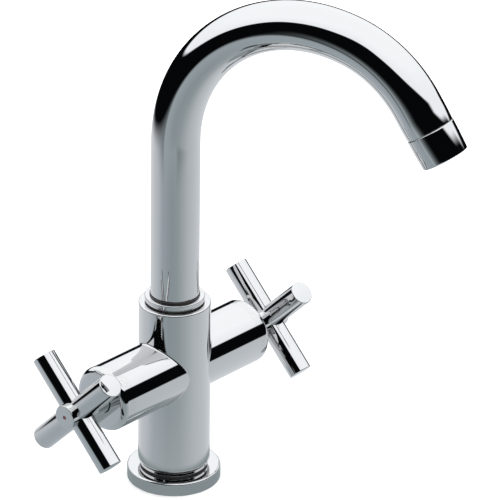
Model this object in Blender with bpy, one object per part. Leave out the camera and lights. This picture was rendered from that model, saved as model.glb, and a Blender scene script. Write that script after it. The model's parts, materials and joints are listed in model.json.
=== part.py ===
"""Two-handle basin mixer: round column, swan-neck swivel spout, cross handles on side valves.

Frame: metres, +Z up, origin at the centre of the base's underside.  The user stands on
the -Y side, the hot valve points to -X and the cold valve to +X.  At rest the spout is
turned a little from straight ahead, towards the cold side, and both valves are closed.
"""
from math import cos, pi, radians, sin

import bmesh
import bpy
from mathutils import Matrix, Vector

MM = 0.001
GAP = 0.3 * MM              # clearance between pieces that touch

# Column and base
COLUMN_RADIUS = 20.0 * MM
COLUMN_BOTTOM = 11.4 * MM   # lower rim of the wide column, above the shadow gap
COLUMN_TOP = 108.8 * MM
COLUMN_EDGE = 0.6 * MM
NECK_RADIUS = 18.0 * MM     # seen in the gap between flange and column
SPIGOT_RADIUS = 16.0 * MM   # sits inside the flange's lip
LIP_TOP = 3.7 * MM
FLANGE_RADIUS = 26.0 * MM
FLANGE_HEIGHT = 7.5 * MM
FLANGE_EDGE = 0.5 * MM
SEAL_INNER, SEAL_OUTER, SEAL_HEIGHT = 20.8 * MM, 23.7 * MM, 1.2 * MM

# Underside: two hose ports and two holes for fixing studs
PORT_OFFSET = 10.0 * MM
PORT_RADIUS = 4.6 * MM
PORT_DEPTH = 12.0 * MM
PASSAGE_RADIUS = 3.5 * MM
STUD_OFFSET = 10.2 * MM
STUD_HOLE_RADIUS = 3.4 * MM
STUD_HOLE_DEPTH = 18.0 * MM

# Side valves, measured outwards from the column's centre line
VALVE_HEIGHT = 69.0 * MM
BRANCH_RADIUS = 18.5 * MM
BRANCH_END = 54.8 * MM
CAP_END = 58.7 * MM
CAP_ROUNDING = 2.5 * MM
CAP_HOLE = 7.3 * MM
SEAT = 36.0 * MM            # face that the cartridge seals against
SEAT_BORE = 4.5 * MM
CAVITY_RADIUS = 12.3 * MM
CAP_THREAD_RADIUS = 14.5 * MM
CAP_THREAD_START = 49.5 * MM
MIXED_HEIGHT = 80.2 * MM    # passage from both cavities to the spout socket
MIXED_RADIUS = 3.0 * MM

# Cross handles
STEM_RADIUS = 6.9 * MM
STEM_START = 56.1 * MM
CROSS_CENTRE = 77.0 * MM
HUB_END = 86.8 * MM
ARM_RADIUS = 6.7 * MM
ARM_REACH = 36.0 * MM
ARM_EDGE = 0.5 * MM
SQUARE = 5.6 * MM           # across flats of the spindle's driving end
SPINDLE_RADIUS = 4.2 * MM
SPINDLE_END = 68.0 * MM
SQUARE_START = 59.0 * MM
SCREW_STATION = 64.5 * MM
SCREW_RADIUS = 1.9 * MM
PLUG_RADIUS = 1.0 * MM
PLUG_DEPTH = 3.0 * MM

# Ceramic discs
DISC_RADIUS = 8.7 * MM
DISC_THICKNESS = 2.0 * MM
FIXED_DISC_START = 38.3 * MM
MOVING_DISC_START = 40.6 * MM
DISC_OPENING = (3.0 * MM, 6.9 * MM)     # inner and outer radius of each opening
DISC_OPENING_SPAN = radians(76)

# Spout
SOCKET_FLOOR = 76.5 * MM
SOCKET_RADIUS = 12.3 * MM
MOUTH_RADIUS = 15.0 * MM
MOUTH_FLOOR = 100.0 * MM
COLLAR_RADIUS = 16.6 * MM
COLLAR_TOP = 112.8 * MM
TUBE_RADIUS = 13.5 * MM
TUBE_WALL = 1.5 * MM
TUBE_BOTTOM = 113.9 * MM
SPOUT_TURN = radians(12)    # at rest, from straight ahead towards the cold side
BEND_START = 204.5 * MM
BEND_RADIUS = 86.8 * MM
TIGHT_RADIUS = 67.0 * MM
TIGHT_FROM = radians(103.6)
BEND_TOTAL = radians(145.6)
STRAIGHT_END = 14.6 * MM
HOUSING_LENGTH = 17.4 * MM

CHROME = ((0.80, 0.81, 0.83), 0.07, 1.0)
BRASS = ((0.72, 0.53, 0.24), 0.32, 1.0)
STEEL = ((0.55, 0.56, 0.58), 0.30, 1.0)
RUBBER = ((0.02, 0.02, 0.02), 0.75, 0.0)
CERAMIC = ((0.86, 0.84, 0.80), 0.25, 0.0)
WHITE_PLASTIC = ((0.80, 0.80, 0.78), 0.40, 0.0)
DARK_PLASTIC = ((0.03, 0.03, 0.035), 0.45, 0.0)
RED = ((0.35, 0.015, 0.02), 0.35, 0.0)
BLUE = ((0.01, 0.05, 0.42), 0.35, 0.0)


def clear_scene():
    for thing in list(bpy.data.objects):
        bpy.data.objects.remove(thing, do_unlink=True)


def finish(thing, look):
    """Give one object its own material: colour, roughness, metallic."""
    colour, roughness, metallic = look
    made = bpy.data.materials.new(thing.name + "_finish")
    made.use_nodes = True
    shader = made.node_tree.nodes["Principled BSDF"]
    shader.inputs["Base Color"].default_value = (*colour, 1.0)
    shader.inputs["Roughness"].default_value = roughness
    shader.inputs["Metallic"].default_value = metallic
    made.diffuse_color = (*colour, 1.0)
    thing.data.materials.append(made)


def place(name, data, look=None, parent=None, location=(0, 0, 0), rotation=(0, 0, 0)):
    """Object in the scene; without a look it is a cutter."""
    thing = bpy.data.objects.new(name, data)
    bpy.context.scene.collection.objects.link(thing)
    thing.parent = parent
    thing.location = location
    thing.rotation_euler = rotation
    if look is None:
        thing.hide_render = True
        thing.display_type = 'WIRE'
    else:
        finish(thing, look)
    return thing


def mesh_from(form, name):
    bmesh.ops.recalc_face_normals(form, faces=form.faces)
    mesh = bpy.data.meshes.new(name)
    form.to_mesh(mesh)
    form.free()
    mesh.shade_smooth()
    mesh.set_sharp_from_angle(angle=radians(35))
    return mesh


def turned(name, profile, steps=20):
    """Mesh turned about local Z from (radius, height) points.

    A profile that starts off the axis is closed into a ring.
    """
    form = bmesh.new()
    points = [form.verts.new((radius, 0, height)) for radius, height in profile]
    edges = [form.edges.new(pair) for pair in zip(points, points[1:])]
    if profile[0][0] > 0:
        edges.append(form.edges.new((points[-1], points[0])))
    bmesh.ops.spin(form, geom=points + edges, cent=(0, 0, 0), axis=(0, 0, 1),
                   angle=2 * pi, steps=steps, use_merge=True)
    bmesh.ops.remove_doubles(form, verts=form.verts, dist=1e-6)
    poles = [v for v in form.verts if v.co.x ** 2 + v.co.y ** 2 < 1e-12]
    bmesh.ops.dissolve_verts(form, verts=poles)
    return mesh_from(form, name)


def rod(name, radius, start, end, steps=20, edge=0.0):
    """Solid round bar along local Z, its far end chamfered by edge."""
    profile = [(0, start), (radius, start), (radius, end - edge)]
    if edge:
        profile.append((radius - edge, end))
    return turned(name, profile + [(0, end)], steps)


def bars(name, radius, start, end, spots, sides):
    """Several separate round bars along local Z in one mesh, one at each (x, y) spot."""
    form = bmesh.new()
    for x, y in spots:
        middle = Matrix.Translation((x, y, (start + end) / 2))
        bmesh.ops.create_cone(form, cap_ends=True, segments=sides, radius1=radius,
                              radius2=radius, depth=end - start, matrix=middle)
    return mesh_from(form, name)


def washer(name, inner, outer, start, end, steps=20):
    return turned(name, [(inner, start), (outer, start), (outer, end), (inner, end)], steps)


def o_ring(name, centre_radius, thickness, height, steps=20, sides=6):
    """Ring of round section; thickness is the section's diameter."""
    turns = [2 * pi * k / sides for k in range(sides)]
    profile = [(centre_radius + thickness / 2 * cos(t), height + thickness / 2 * sin(t))
               for t in turns]
    return turned(name, profile, steps)


def block(name, size, centre):
    form = bmesh.new()
    bmesh.ops.create_cube(form, size=1.0)
    for corner in form.verts:
        corner.co = Vector(corner.co) * Vector(size) + Vector(centre)
    return mesh_from(form, name)


def sector(name, inner, outer, span, start, end, steps=6):
    """Prism of a ring sector centred on local +X."""
    turns = [span * (k / steps - 0.5) for k in range(steps + 1)]
    outline = [(outer * cos(t), outer * sin(t)) for t in turns]
    outline += [(inner * cos(t), inner * sin(t)) for t in reversed(turns)]
    form = bmesh.new()
    base = form.faces.new([form.verts.new((x, y, start)) for x, y in outline])
    raised = bmesh.ops.extrude_face_region(form, geom=[base])["geom"]
    moved = [item for item in raised if isinstance(item, bmesh.types.BMVert)]
    bmesh.ops.translate(form, verts=moved, vec=(0, 0, end - start))
    return mesh_from(form, name)


def combine(thing, tools, operation='DIFFERENCE'):
    for tool in tools:
        step = thing.modifiers.new(tool.name, 'BOOLEAN')
        step.operation = operation
        step.solver = 'EXACT'
        step.object = tool


def make_base(parent):
    flange = [
        (SPIGOT_RADIUS + GAP, 0), (SEAL_INNER - GAP, 0), (SEAL_INNER - GAP, SEAL_HEIGHT + GAP),
        (SEAL_OUTER + GAP, SEAL_HEIGHT + GAP), (SEAL_OUTER + GAP, 0),
        (FLANGE_RADIUS - FLANGE_EDGE, 0), (FLANGE_RADIUS, FLANGE_EDGE),
        (FLANGE_RADIUS, FLANGE_HEIGHT - FLANGE_EDGE), (FLANGE_RADIUS - FLANGE_EDGE, FLANGE_HEIGHT),
        (NECK_RADIUS + GAP, FLANGE_HEIGHT), (NECK_RADIUS + GAP, LIP_TOP),
        (SPIGOT_RADIUS + GAP, LIP_TOP)]
    place("base_flange", turned("base_flange", flange, 40), CHROME, parent)
    place("base_seal", washer("base_seal", SEAL_INNER, SEAL_OUTER, 0, SEAL_HEIGHT, 32),
          RUBBER, parent)


def make_body(parent, sides):
    """Casting: column with both valve branches, bored for water, cartridges and spout."""
    column = [
        (0, 0), (SPIGOT_RADIUS, 0), (SPIGOT_RADIUS, LIP_TOP + GAP), (NECK_RADIUS, LIP_TOP + GAP),
        (NECK_RADIUS, COLUMN_BOTTOM), (COLUMN_RADIUS - COLUMN_EDGE, COLUMN_BOTTOM),
        (COLUMN_RADIUS, COLUMN_BOTTOM + COLUMN_EDGE), (COLUMN_RADIUS, COLUMN_TOP - COLUMN_EDGE),
        (COLUMN_RADIUS - COLUMN_EDGE, COLUMN_TOP), (0, COLUMN_TOP)]
    body = place("body_casting", turned("body_casting", column, 40), CHROME, parent)
    branches = place("cut_branches", rod("cut_branches", BRANCH_RADIUS, -BRANCH_END, BRANCH_END, 40),
                     parent=sides["cold"])
    combine(body, [branches], 'UNION')

    socket = [
        (0, SOCKET_FLOOR), (SOCKET_RADIUS, SOCKET_FLOOR), (SOCKET_RADIUS, MOUTH_FLOOR),
        (MOUTH_RADIUS, MOUTH_FLOOR), (MOUTH_RADIUS, COLUMN_TOP + MM), (0, COLUMN_TOP + MM)]
    tools = [place("cut_socket", turned("cut_socket", socket, 24), parent=parent)]
    reach = SEAT + 4 * MM
    tools.append(place("cut_mixed", rod("cut_mixed", MIXED_RADIUS, -reach, reach, 12), parent=parent,
                       location=(0, 0, MIXED_HEIGHT), rotation=(0, pi / 2, 0)))
    port = [
        (0, -MM), (PORT_RADIUS, -MM), (PORT_RADIUS, PORT_DEPTH), (PASSAGE_RADIUS, PORT_DEPTH),
        (PASSAGE_RADIUS, VALVE_HEIGHT), (0, VALVE_HEIGHT)]
    cavity = [
        (0, PORT_OFFSET), (SEAT_BORE, PORT_OFFSET), (SEAT_BORE, SEAT), (CAVITY_RADIUS, SEAT),
        (CAVITY_RADIUS, CAP_THREAD_START), (CAP_THREAD_RADIUS, CAP_THREAD_START),
        (CAP_THREAD_RADIUS, CAP_END), (0, CAP_END)]
    for side, sign in (("hot", -1), ("cold", 1)):
        tools.append(place("cut_port_" + side, turned("cut_port", port, 16), parent=parent,
                           location=(sign * PORT_OFFSET, 0, 0)))
        tools.append(place("cut_cavity_" + side, turned("cut_cavity", cavity, 24),
                           parent=sides[side]))
        tools.append(place("cut_stud_" + side, rod("cut_stud", STUD_HOLE_RADIUS, -MM,
                                                   STUD_HOLE_DEPTH, 12),
                           parent=parent, location=(0, sign * STUD_OFFSET, 0)))
    combine(body, tools)


def make_collar(parent):
    """Nut, bush and split ring that hold the spout in its socket and let it turn."""
    bush_inner, bush_outer = SOCKET_RADIUS, 13.3 * MM
    skirt_bottom = 102.1 * MM
    edge = 0.5 * MM
    nut = [
        (bush_outer + GAP, skirt_bottom), (MOUTH_RADIUS - GAP, skirt_bottom),
        (MOUTH_RADIUS - GAP, COLUMN_TOP + GAP), (COLLAR_RADIUS - edge, COLUMN_TOP + GAP),
        (COLLAR_RADIUS, COLUMN_TOP + GAP + edge), (COLLAR_RADIUS, COLLAR_TOP - edge),
        (COLLAR_RADIUS - edge, COLLAR_TOP), (bush_outer + GAP, COLLAR_TOP)]
    place("spout_collar_nut", turned("spout_collar_nut", nut, 32), CHROME, parent)
    bush_flange = 14.0 * MM
    bush = [
        (bush_inner, skirt_bottom + GAP), (bush_outer, skirt_bottom + GAP),
        (bush_outer, COLLAR_TOP + GAP), (bush_flange, COLLAR_TOP + GAP),
        (bush_flange, TUBE_BOTTOM - GAP), (bush_inner, TUBE_BOTTOM - GAP)]
    place("spout_glide_bush", turned("spout_glide_bush", bush, 24), DARK_PLASTIC, parent)
    ring_inner, ring_outer = 11.1 * MM, 14.6 * MM
    ring = place("spout_retaining_ring",
                 washer("spout_retaining_ring", ring_inner, ring_outer, MOUTH_FLOOR + GAP,
                        skirt_bottom - GAP), STEEL, parent)
    split = place("cut_ring_split", block("cut_ring_split", (3 * MM, 8 * MM, 6 * MM),
                                          (0, ring_outer, MOUTH_FLOOR)), parent=parent)
    combine(ring, [split])


def bend_path():
    """Centre line of the tube from its foot to the aerator's seam, in the spout's own plane.

    The spout reaches along local -Y.  Returns the points, the end and the end's direction.
    """
    points = [Vector((0, 0, TUBE_BOTTOM)), Vector((0, 0, BEND_START))]
    here = points[-1].copy()
    turn, step = 0.0, radians(6)
    while turn < BEND_TOTAL - 1e-6:
        tight = turn >= TIGHT_FROM - 1e-6
        limit = BEND_TOTAL if tight else TIGHT_FROM
        ahead = min(turn + step, limit)
        radius = TIGHT_RADIUS if tight else BEND_RADIUS
        here = here + Vector((0, -radius * (cos(turn) - cos(ahead)),
                              radius * (sin(ahead) - sin(turn))))
        points.append(here.copy())
        turn = ahead
    direction = Vector((0, -sin(BEND_TOTAL), cos(BEND_TOTAL)))
    points.append(here + direction * STRAIGHT_END)
    return points, points[-1], direction


def make_spout(swivel):
    bore = 8.8 * MM
    lower, upper = SOCKET_RADIUS - 0.4 * MM, SOCKET_RADIUS - GAP
    foot = 83.0 * MM
    ring_heights = (87.5 * MM, 93.5 * MM)
    ring_section = 1.8 * MM
    groove, half = 9.9 * MM, ring_section / 2 + GAP
    spigot = [(bore, foot), (lower, foot)]
    for height in ring_heights:
        spigot += [(lower, height - half), (groove, height - half),
                   (groove, height + half), (lower, height + half)]
    catch = 10.8 * MM
    catch_bottom, catch_top = 100.0 * MM, 102.1 * MM
    inside_tube, spigot_top = TUBE_RADIUS - TUBE_WALL - GAP, 126.0 * MM
    spigot += [(lower, catch_bottom), (catch, catch_bottom), (catch, catch_top),
               (upper, catch_top), (upper, TUBE_BOTTOM - GAP), (inside_tube, TUBE_BOTTOM - GAP),
               (inside_tube, spigot_top), (bore, spigot_top)]
    place("spout_spigot", turned("spout_spigot", spigot, 24), BRASS, swivel)
    for name, height in zip(("spout_o_ring_lower", "spout_o_ring_upper"), ring_heights):
        place(name, o_ring(name, groove + GAP + ring_section / 2, ring_section, height),
              RUBBER, swivel)

    points, seam, direction = bend_path()
    line = bpy.data.curves.new("spout_tube", 'CURVE')
    line.dimensions = '3D'
    line.bevel_depth = TUBE_RADIUS
    line.bevel_resolution = 8
    line.use_fill_caps = False
    spline = line.splines.new('POLY')
    spline.points.add(len(points) - 1)
    for knot, point in zip(spline.points, points):
        knot.co = (*point, 1.0)
    tube = place("spout_tube", line, CHROME, swivel)
    wall = tube.modifiers.new("wall", 'SOLIDIFY')
    wall.thickness = TUBE_WALL
    wall.offset = -1.0
    wall.use_even_offset = True

    outlet = bpy.data.objects.new("outlet_axis", None)
    bpy.context.scene.collection.objects.link(outlet)
    outlet.parent = swivel
    outlet.location = seam
    outlet.rotation_euler = (-(pi - BEND_TOTAL) + pi, 0, 0)
    make_aerator(outlet)


def make_aerator(outlet):
    """Aerator in the spout's mouth; local Z points out of the spout."""
    bore, insert_radius = 10.6 * MM, 10.3 * MM
    lip, lip_start = 9.6 * MM, HOUSING_LENGTH - 1.5 * MM
    edge = 0.6 * MM
    thread_start, thread_radius = -6.0 * MM, TUBE_RADIUS - TUBE_WALL - GAP
    housing = [
        (bore, thread_start), (thread_radius, thread_start), (thread_radius, GAP),
        (TUBE_RADIUS, GAP), (TUBE_RADIUS, HOUSING_LENGTH - edge),
        (TUBE_RADIUS - edge, HOUSING_LENGTH), (lip, HOUSING_LENGTH), (lip, lip_start),
        (bore, lip_start)]
    place("aerator_housing", turned("aerator_housing", housing, 32), CHROME, outlet)
    insert_start, plate_top = 4.0 * MM, 6.0 * MM
    insert_end, inner = lip_start - 1.8 * MM, 9.0 * MM
    cup = [
        (0, insert_start), (insert_radius, insert_start), (insert_radius, insert_end),
        (inner, insert_end), (inner, plate_top), (0, plate_top)]
    insert = place("aerator_insert", turned("aerator_insert", cup), WHITE_PLASTIC, outlet)
    ring = [2 * pi * k / 6 for k in range(6)]
    jets = bars("cut_jets", 0.8 * MM, insert_start - MM, plate_top + MM,
                [(6 * MM * cos(turn), 6 * MM * sin(turn)) for turn in ring], 6)
    combine(insert, [place("cut_jets", jets, parent=outlet)])
    make_screen(outlet, insert_radius, insert_end + GAP, lip_start - GAP)
    place("aerator_washer", washer("aerator_washer", 7.5 * MM, insert_radius,
                                   insert_start - GAP - 1.8 * MM, insert_start - GAP),
          RUBBER, outlet)


def make_screen(outlet, radius, start, end):
    """Steel flow screen: a disc with a hexagonal grid of holes."""
    pitch, hole = 3.6 * MM, 1.4 * MM
    screen = place("aerator_screen", rod("aerator_screen", radius, start, end), STEEL, outlet)
    spots = [(pitch * (k + abs(row) / 2 - 1.5), pitch * row * sin(pi / 3))
             for row in range(-1, 2) for k in range(4 - abs(row))]
    holes = bars("cut_holes", hole, start - MM, end + MM, spots, 6)
    combine(screen, [place("cut_holes", holes, parent=outlet)])


def make_end_cap(side, axis):
    """Polished cap that screws into the branch and holds the cartridge down."""
    skirt_inner, skirt_end = CAVITY_RADIUS, CAP_THREAD_START + GAP
    rounding = [
        (BRANCH_RADIUS - CAP_ROUNDING * (1 - cos(t)), CAP_END - CAP_ROUNDING * (1 - sin(t)))
        for t in (radians(a) for a in (0, 30, 60, 90))]
    plate = 57.0 * MM
    cap = [(skirt_inner, skirt_end), (CAP_THREAD_RADIUS - GAP, skirt_end),
           (CAP_THREAD_RADIUS - GAP, BRANCH_END + GAP), (BRANCH_RADIUS, BRANCH_END + GAP)]
    cap += rounding
    cap += [(CAP_HOLE, CAP_END), (CAP_HOLE, plate), (skirt_inner, plate)]
    place(side + "_end_cap", turned(side + "_end_cap", cap, 40), CHROME, axis)


def make_cartridge(side, axis, opening_turn):
    """Fixed half of the quarter-turn headwork: brass bush, seals and fixed disc."""
    skirt_start, skirt_inner, skirt_outer = 37.2 * MM, 9.0 * MM, 10.6 * MM
    bulk_start, bulk_end, bulk = 44.6 * MM, 49.2 * MM, CAVITY_RADIUS - 0.4 * MM
    neck, neck_end = 7.8 * MM, 54.6 * MM
    bore = SPINDLE_RADIUS + GAP
    section = 1.6 * MM
    groove, groove_centre = 10.1 * MM, 46.9 * MM
    half = section / 2 + GAP
    bush = [
        (skirt_inner, skirt_start), (skirt_outer, skirt_start), (skirt_outer, bulk_start),
        (bulk, bulk_start), (bulk, groove_centre - half), (groove, groove_centre - half),
        (groove, groove_centre + half), (bulk, groove_centre + half), (bulk, bulk_end),
        (neck, bulk_end), (neck, neck_end), (bore, neck_end), (bore, bulk_start),
        (skirt_inner, bulk_start)]
    name = side + "_headwork_body"
    headwork = place(name, turned(name, bush, 20), BRASS, axis)
    window = place(f"cut_{side}_window",
                   block("cut_window", (7 * MM, 4 * CAVITY_RADIUS, 1.5 * MM), (0, 0, 43.4 * MM)),
                   parent=axis)
    combine(headwork, [window])
    name = side + "_headwork_o_ring"
    place(name, o_ring(name, groove + GAP + section / 2, section, groove_centre), RUBBER, axis)
    name = side + "_seat_seal"
    place(name, washer(name, 5.0 * MM, 8.6 * MM, SEAT + GAP, FIXED_DISC_START - GAP),
          RUBBER, axis)
    make_disc(side + "_fixed_disc", axis, FIXED_DISC_START, 0.0)
    make_disc(side + "_moving_disc", axis, MOVING_DISC_START, opening_turn)


def make_disc(name, axis, start, turn):
    """Ceramic disc with two opposite openings."""
    disc = place(name, rod(name, DISC_RADIUS, start, start + DISC_THICKNESS - GAP),
                 CERAMIC, axis)
    openings = []
    for k in range(2):
        tool = f"cut_{name}_{k}"
        openings.append(place(tool, sector(tool, *DISC_OPENING, DISC_OPENING_SPAN, start - MM,
                                           start + DISC_THICKNESS + MM),
                              parent=axis, rotation=(0, 0, turn + pi * k)))
    combine(disc, openings)


def make_spindle(side, axis):
    foot_radius, foot_start, foot_end = 5.5 * MM, 42.6 * MM, 44.2 * MM
    section, ring_centre, groove = 1.0 * MM, 51.5 * MM, 2.9 * MM
    half = section / 2 + GAP
    clip_groove, clip_start, clip_end = 3.3 * MM, 54.9 * MM, 55.5 * MM
    shaft = [
        (0, foot_start), (foot_radius, foot_start), (foot_radius, foot_end),
        (SPINDLE_RADIUS, foot_end), (SPINDLE_RADIUS, ring_centre - half),
        (groove, ring_centre - half), (groove, ring_centre + half),
        (SPINDLE_RADIUS, ring_centre + half), (SPINDLE_RADIUS, clip_start - GAP),
        (clip_groove, clip_start - GAP), (clip_groove, clip_end + GAP),
        (SPINDLE_RADIUS, clip_end + GAP), (SPINDLE_RADIUS, SPINDLE_END), (0, SPINDLE_END)]
    name = side + "_spindle"
    spindle = place(name, turned(name, shaft, 20), BRASS, axis)
    length = SPINDLE_END - SQUARE_START + 2 * MM
    middle = SQUARE_START + length / 2
    depth = SPINDLE_RADIUS
    flats = []
    for k in range(4):
        tool = f"cut_{side}_flat_{k}"
        flats.append(place(tool, block(tool, (depth, 4 * depth, length),
                                       ((SQUARE + depth) / 2, 0, middle)),
                           parent=axis, rotation=(0, 0, pi / 2 * k)))
    combine(spindle, flats)
    name = side + "_spindle_o_ring"
    place(name, o_ring(name, groove + GAP + section / 2, section, ring_centre, 16),
          RUBBER, axis)
    name = side + "_spindle_clip"
    clip = place(name, washer(name, clip_groove + GAP, 6.0 * MM, clip_start, clip_end, 16),
                 STEEL, axis)
    mouth = place(f"cut_{side}_clip_mouth",
                  block("cut_clip_mouth", (6 * MM, 4 * MM, 4 * MM), (6 * MM, 0, clip_start)),
                  parent=axis)
    combine(clip, [mouth])


def make_handle(side, axis):
    """Cross handle: four round arms and a stem, driven by the spindle's square."""
    name = side + "_cross_handle"
    stem = [(0, STEM_START), (STEM_RADIUS, STEM_START), (STEM_RADIUS, HUB_END - ARM_EDGE),
            (STEM_RADIUS - ARM_EDGE, HUB_END), (0, HUB_END)]
    handle = place(name, turned(name, stem, 28), CHROME, axis)
    bar = [(0, -ARM_REACH), (ARM_RADIUS - ARM_EDGE, -ARM_REACH), (ARM_RADIUS, -ARM_REACH + ARM_EDGE),
           (ARM_RADIUS, ARM_REACH - ARM_EDGE), (ARM_RADIUS - ARM_EDGE, ARM_REACH), (0, ARM_REACH)]
    arms = [place(f"cut_{side}_arm_{k}", turned("cut_arm", bar, 28), parent=axis,
                  location=(0, 0, CROSS_CENTRE), rotation=(pi / 2, 0, pi / 4 + pi / 2 * k))
            for k in range(2)]
    combine(handle, arms, 'UNION')
    round_bore = SPINDLE_RADIUS + GAP
    socket = place(f"cut_{side}_bore", rod("cut_bore", round_bore, STEM_START - MM,
                                           SQUARE_START + 0.6 * MM), parent=axis)
    width = SQUARE + 2 * GAP
    square_end = SPINDLE_END + GAP
    square = place(f"cut_{side}_square",
                   block("cut_square", (width, width, square_end - SQUARE_START),
                         (0, 0, (square_end + SQUARE_START) / 2)), parent=axis)
    screw_hole = place(f"cut_{side}_screw", rod("cut_screw", SCREW_RADIUS + GAP, 0, 2 * STEM_RADIUS, 12),
                       parent=axis, location=(0, 0, SCREW_STATION), rotation=screw_turn(side))
    plug_hole = place(f"cut_{side}_plug", rod("cut_plug", PLUG_RADIUS + 0.1 * MM, HUB_END - PLUG_DEPTH,
                                              HUB_END + MM, 12), parent=axis)
    combine(handle, [socket, square, screw_hole, plug_hole])


def screw_turn(side):
    """Turn local Z downwards in the world: the valve axes lie along -X (hot) and +X (cold)."""
    return (0, -pi / 2, 0) if side == "hot" else (0, pi / 2, 0)


def make_fasteners(side, axis, colour):
    name = side + "_grub_screw"
    tip, head = SQUARE / 2 + GAP, STEM_RADIUS - 0.4 * MM
    screw = place(name, rod(name, SCREW_RADIUS, tip, head, 12), STEEL, axis,
                  (0, 0, SCREW_STATION), screw_turn(side))
    key = place(f"cut_{side}_key", rod("cut_key", 1.0 * MM, head - 1.5 * MM, head + MM, 6),
                parent=axis, location=(0, 0, SCREW_STATION), rotation=screw_turn(side))
    combine(screw, [key])
    name = side + "_index_plug"
    place(name, rod(name, PLUG_RADIUS, HUB_END - PLUG_DEPTH + GAP, HUB_END, 12), colour, axis)


def empty(name, location, rotation, parent=None):
    thing = bpy.data.objects.new(name, None)
    bpy.context.scene.collection.objects.link(thing)
    thing.parent = parent
    thing.location = location
    thing.rotation_euler = rotation
    return thing


def main():
    clear_scene()
    base = empty("base_axis", (0, 0, 0), (0, 0, 0))
    swivel = empty("spout_axis", (0, 0, 0), (0, 0, SPOUT_TURN))
    sides = {"hot": empty("hot_valve_axis", (0, 0, VALVE_HEIGHT), (0, -pi / 2, 0)),
             "cold": empty("cold_valve_axis", (0, 0, VALVE_HEIGHT), (0, pi / 2, 0))}
    make_base(base)
    make_body(base, sides)
    make_collar(base)
    make_spout(swivel)
    for side, colour in (("hot", RED), ("cold", BLUE)):
        axis = sides[side]
        make_end_cap(side, axis)
        make_cartridge(side, axis, pi / 2)
        make_spindle(side, axis)
        make_handle(side, axis)
        make_fasteners(side, axis, colour)


main()
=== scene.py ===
"""Looks of a two-handle basin mixer in polished chrome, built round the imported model."""

import json
from math import acos, asin, atan2, cos, pi, radians, sin, sqrt, tan

import bmesh
import bpy
import numpy as np
from mathutils import Matrix, Vector
from mathutils.geometry import delaunay_2d_cdt


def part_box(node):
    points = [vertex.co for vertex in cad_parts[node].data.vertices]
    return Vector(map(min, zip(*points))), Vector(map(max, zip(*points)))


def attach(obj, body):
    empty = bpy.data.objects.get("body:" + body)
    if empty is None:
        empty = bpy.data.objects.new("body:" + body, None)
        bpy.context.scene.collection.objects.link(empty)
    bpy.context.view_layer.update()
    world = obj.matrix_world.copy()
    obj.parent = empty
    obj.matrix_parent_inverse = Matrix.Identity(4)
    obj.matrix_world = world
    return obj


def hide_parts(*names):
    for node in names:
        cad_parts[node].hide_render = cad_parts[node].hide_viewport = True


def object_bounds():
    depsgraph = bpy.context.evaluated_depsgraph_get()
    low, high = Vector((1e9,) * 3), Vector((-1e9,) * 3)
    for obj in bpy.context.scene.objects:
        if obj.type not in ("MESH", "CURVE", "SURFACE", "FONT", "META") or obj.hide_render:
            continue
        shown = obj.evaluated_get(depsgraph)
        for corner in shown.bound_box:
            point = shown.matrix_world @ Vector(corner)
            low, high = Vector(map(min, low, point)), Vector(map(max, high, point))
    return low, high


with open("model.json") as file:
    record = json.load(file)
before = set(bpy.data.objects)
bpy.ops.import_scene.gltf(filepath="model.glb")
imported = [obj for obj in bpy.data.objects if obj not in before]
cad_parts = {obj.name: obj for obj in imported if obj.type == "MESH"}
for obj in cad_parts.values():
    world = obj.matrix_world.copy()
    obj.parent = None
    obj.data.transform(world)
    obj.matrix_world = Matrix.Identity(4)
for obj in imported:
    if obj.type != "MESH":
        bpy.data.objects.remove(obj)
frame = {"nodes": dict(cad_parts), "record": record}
cad_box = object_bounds()

MM = 0.001
X, Y, Z = np.eye(3)

# ---------------------------------------------------------------- sizes, from the frame
_, column_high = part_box("body_casting")
COLUMN_RADIUS = column_high.y
COLUMN_TOP = column_high.z
BRANCH_END = column_high.x
_, flange_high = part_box("base_flange")
FLANGE_RADIUS = flange_high.x
FLANGE_HEIGHT = flange_high.z
cap_low, cap_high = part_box("cold_end_cap")
BRANCH_RADIUS = (cap_high.z - cap_low.z) / 2
VALVE_HEIGHT = (cap_high.z + cap_low.z) / 2
CAP_START, CAP_END = cap_low.x, cap_high.x      # the box starts at the cap's thread, behind its seam
handle_low, handle_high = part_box("cold_cross_handle")
STEM_START, HUB_END = handle_low.x, handle_high.x
_, collar_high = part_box("spout_collar_nut")
COLLAR_RADIUS = collar_high.x
COLLAR_TOP = collar_high.z
TUBE_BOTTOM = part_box("spout_tube")[0].z
mounts = {mount["name"]: mount for mount in frame["record"]["mounts"]}
OUTLET = np.array(mounts["spout_outlet"]["axis"])

# Sizes that the boxes don't show
COLUMN_BOTTOM = 11.4 * MM
NECK_RADIUS = 18.0 * MM
SPIGOT_RADIUS = 16.0 * MM
LIP_TOP = 4.0 * MM
BAND_RADIUS, BAND_TOP, BAND_FOOT = 18.9 * MM, 10.3 * MM, 8.7 * MM
# Outer radii of the black rings that paint shade into the neck's gaps and behind the caps
SHADE_RING_RADIUS = 18.6 * MM
CAP_SHADE_RING_RADIUS = BRANCH_RADIUS - 0.3 * MM
COLLAR_GROOVE, COLLAR_FOOT = 15.6 * MM, 109.7 * MM
JUNCTION_FILLET = 1.2 * MM
SOCKET_RADIUS, SOCKET_FLOOR = 12.3 * MM, 76.5 * MM
MOUTH_RADIUS, MOUTH_FLOOR = 15.0 * MM, 100.0 * MM
CAVITY_RADIUS, SEAT = 12.3 * MM, 36.0 * MM
CAP_THREAD_RADIUS, CAP_THREAD_START = 14.5 * MM, 49.5 * MM
PORTS = [(-10.0 * MM, 0.0, 4.6 * MM, 30 * MM), (10.0 * MM, 0.0, 4.6 * MM, 30 * MM),
         (0.0, -10.2 * MM, 3.4 * MM, 18 * MM), (0.0, 10.2 * MM, 3.4 * MM, 18 * MM)]
CROSS_CENTRE = 77.0 * MM
ARM_RADIUS, ARM_REACH = 6.7 * MM, 36.0 * MM
STEM_RADIUS = 6.9 * MM
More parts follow.
